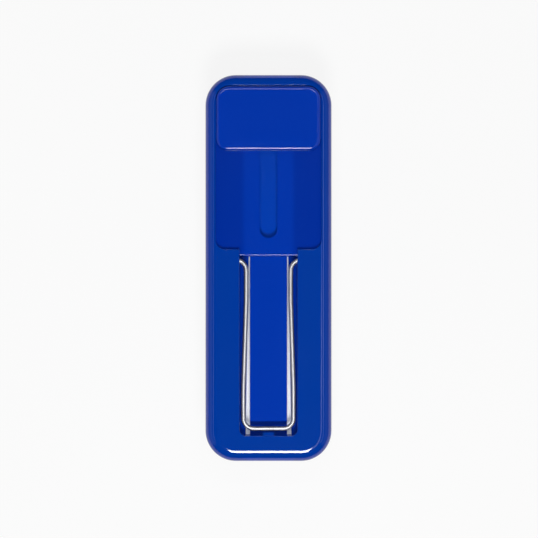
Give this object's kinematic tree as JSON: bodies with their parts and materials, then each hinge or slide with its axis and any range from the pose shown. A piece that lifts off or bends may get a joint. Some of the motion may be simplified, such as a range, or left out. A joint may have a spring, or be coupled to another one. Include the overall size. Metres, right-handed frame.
{
  "type": "chalkboard eraser",
  "caption": "Chalkboard eraser: glossy moulded back with a thumb-slide cover over a chalk compartment, a folding wire bail in a trench, and a layered felt pad.",
  "frame": {"origin": "Middle of the felt's underside, the face that the eraser lies on.", "axes": "+Z up from the felt to the moulded back, +Y along the eraser towards the sliding cover, +X across it, to the right when the back is seen with +Y up."},
  "size_m": [0.05, 0.153, 0.0317],
  "materials": {
    "blue_shell": "glossy moulded cobalt blue",
    "blue_cover": "glossy moulded cobalt blue",
    "blue_inner": "moulded blue, a little lighter",
    "keeper_plastic": "natural acetal",
    "screw_steel": "zinc plated",
    "bail_wire": "satin nickel-plated spring wire",
    "foam": "white closed-cell foam",
    "base_plastic": "matt dark grey moulding",
    "felt_backing": "pressed grey felt",
    "felt": "natural grey wool felt"
  },
  "bodies": {
    "back": {"back_shell": "blue_shell", "track_plate": "blue_inner", "chalk_tray": "blue_inner", "foam_core": "foam", "base_plate": "base_plastic", "base_screws": "screw_steel", "felt_backing": "felt_backing", "felt_strip_1": "felt", "felt_strip_2": "felt", "felt_strip_3": "felt", "felt_strip_4": "felt", "felt_strip_5": "felt", "felt_strip_6": "felt", "felt_strip_7": "felt", "felt_strip_8": "felt", "felt_strip_9": "felt"},
    "cover": {"sliding_cover": "blue_cover", "cover_keeper": "keeper_plastic", "keeper_screw": "screw_steel"},
    "bail": {"wire_bail": "bail_wire"}
  },
  "joints": [
    {"name": "cover_slide", "type": "slide", "parent": "back", "child": "cover", "axis": [0, -1, 0], "range_m": [0, 0.0353]},
    {"name": "bail_hinge", "type": "hinge", "parent": "back", "child": "bail", "pos_m": [0, 0.0033, 0.0286], "axis": [-1, 0, 0], "range_deg": [0, 140]}
  ]
}
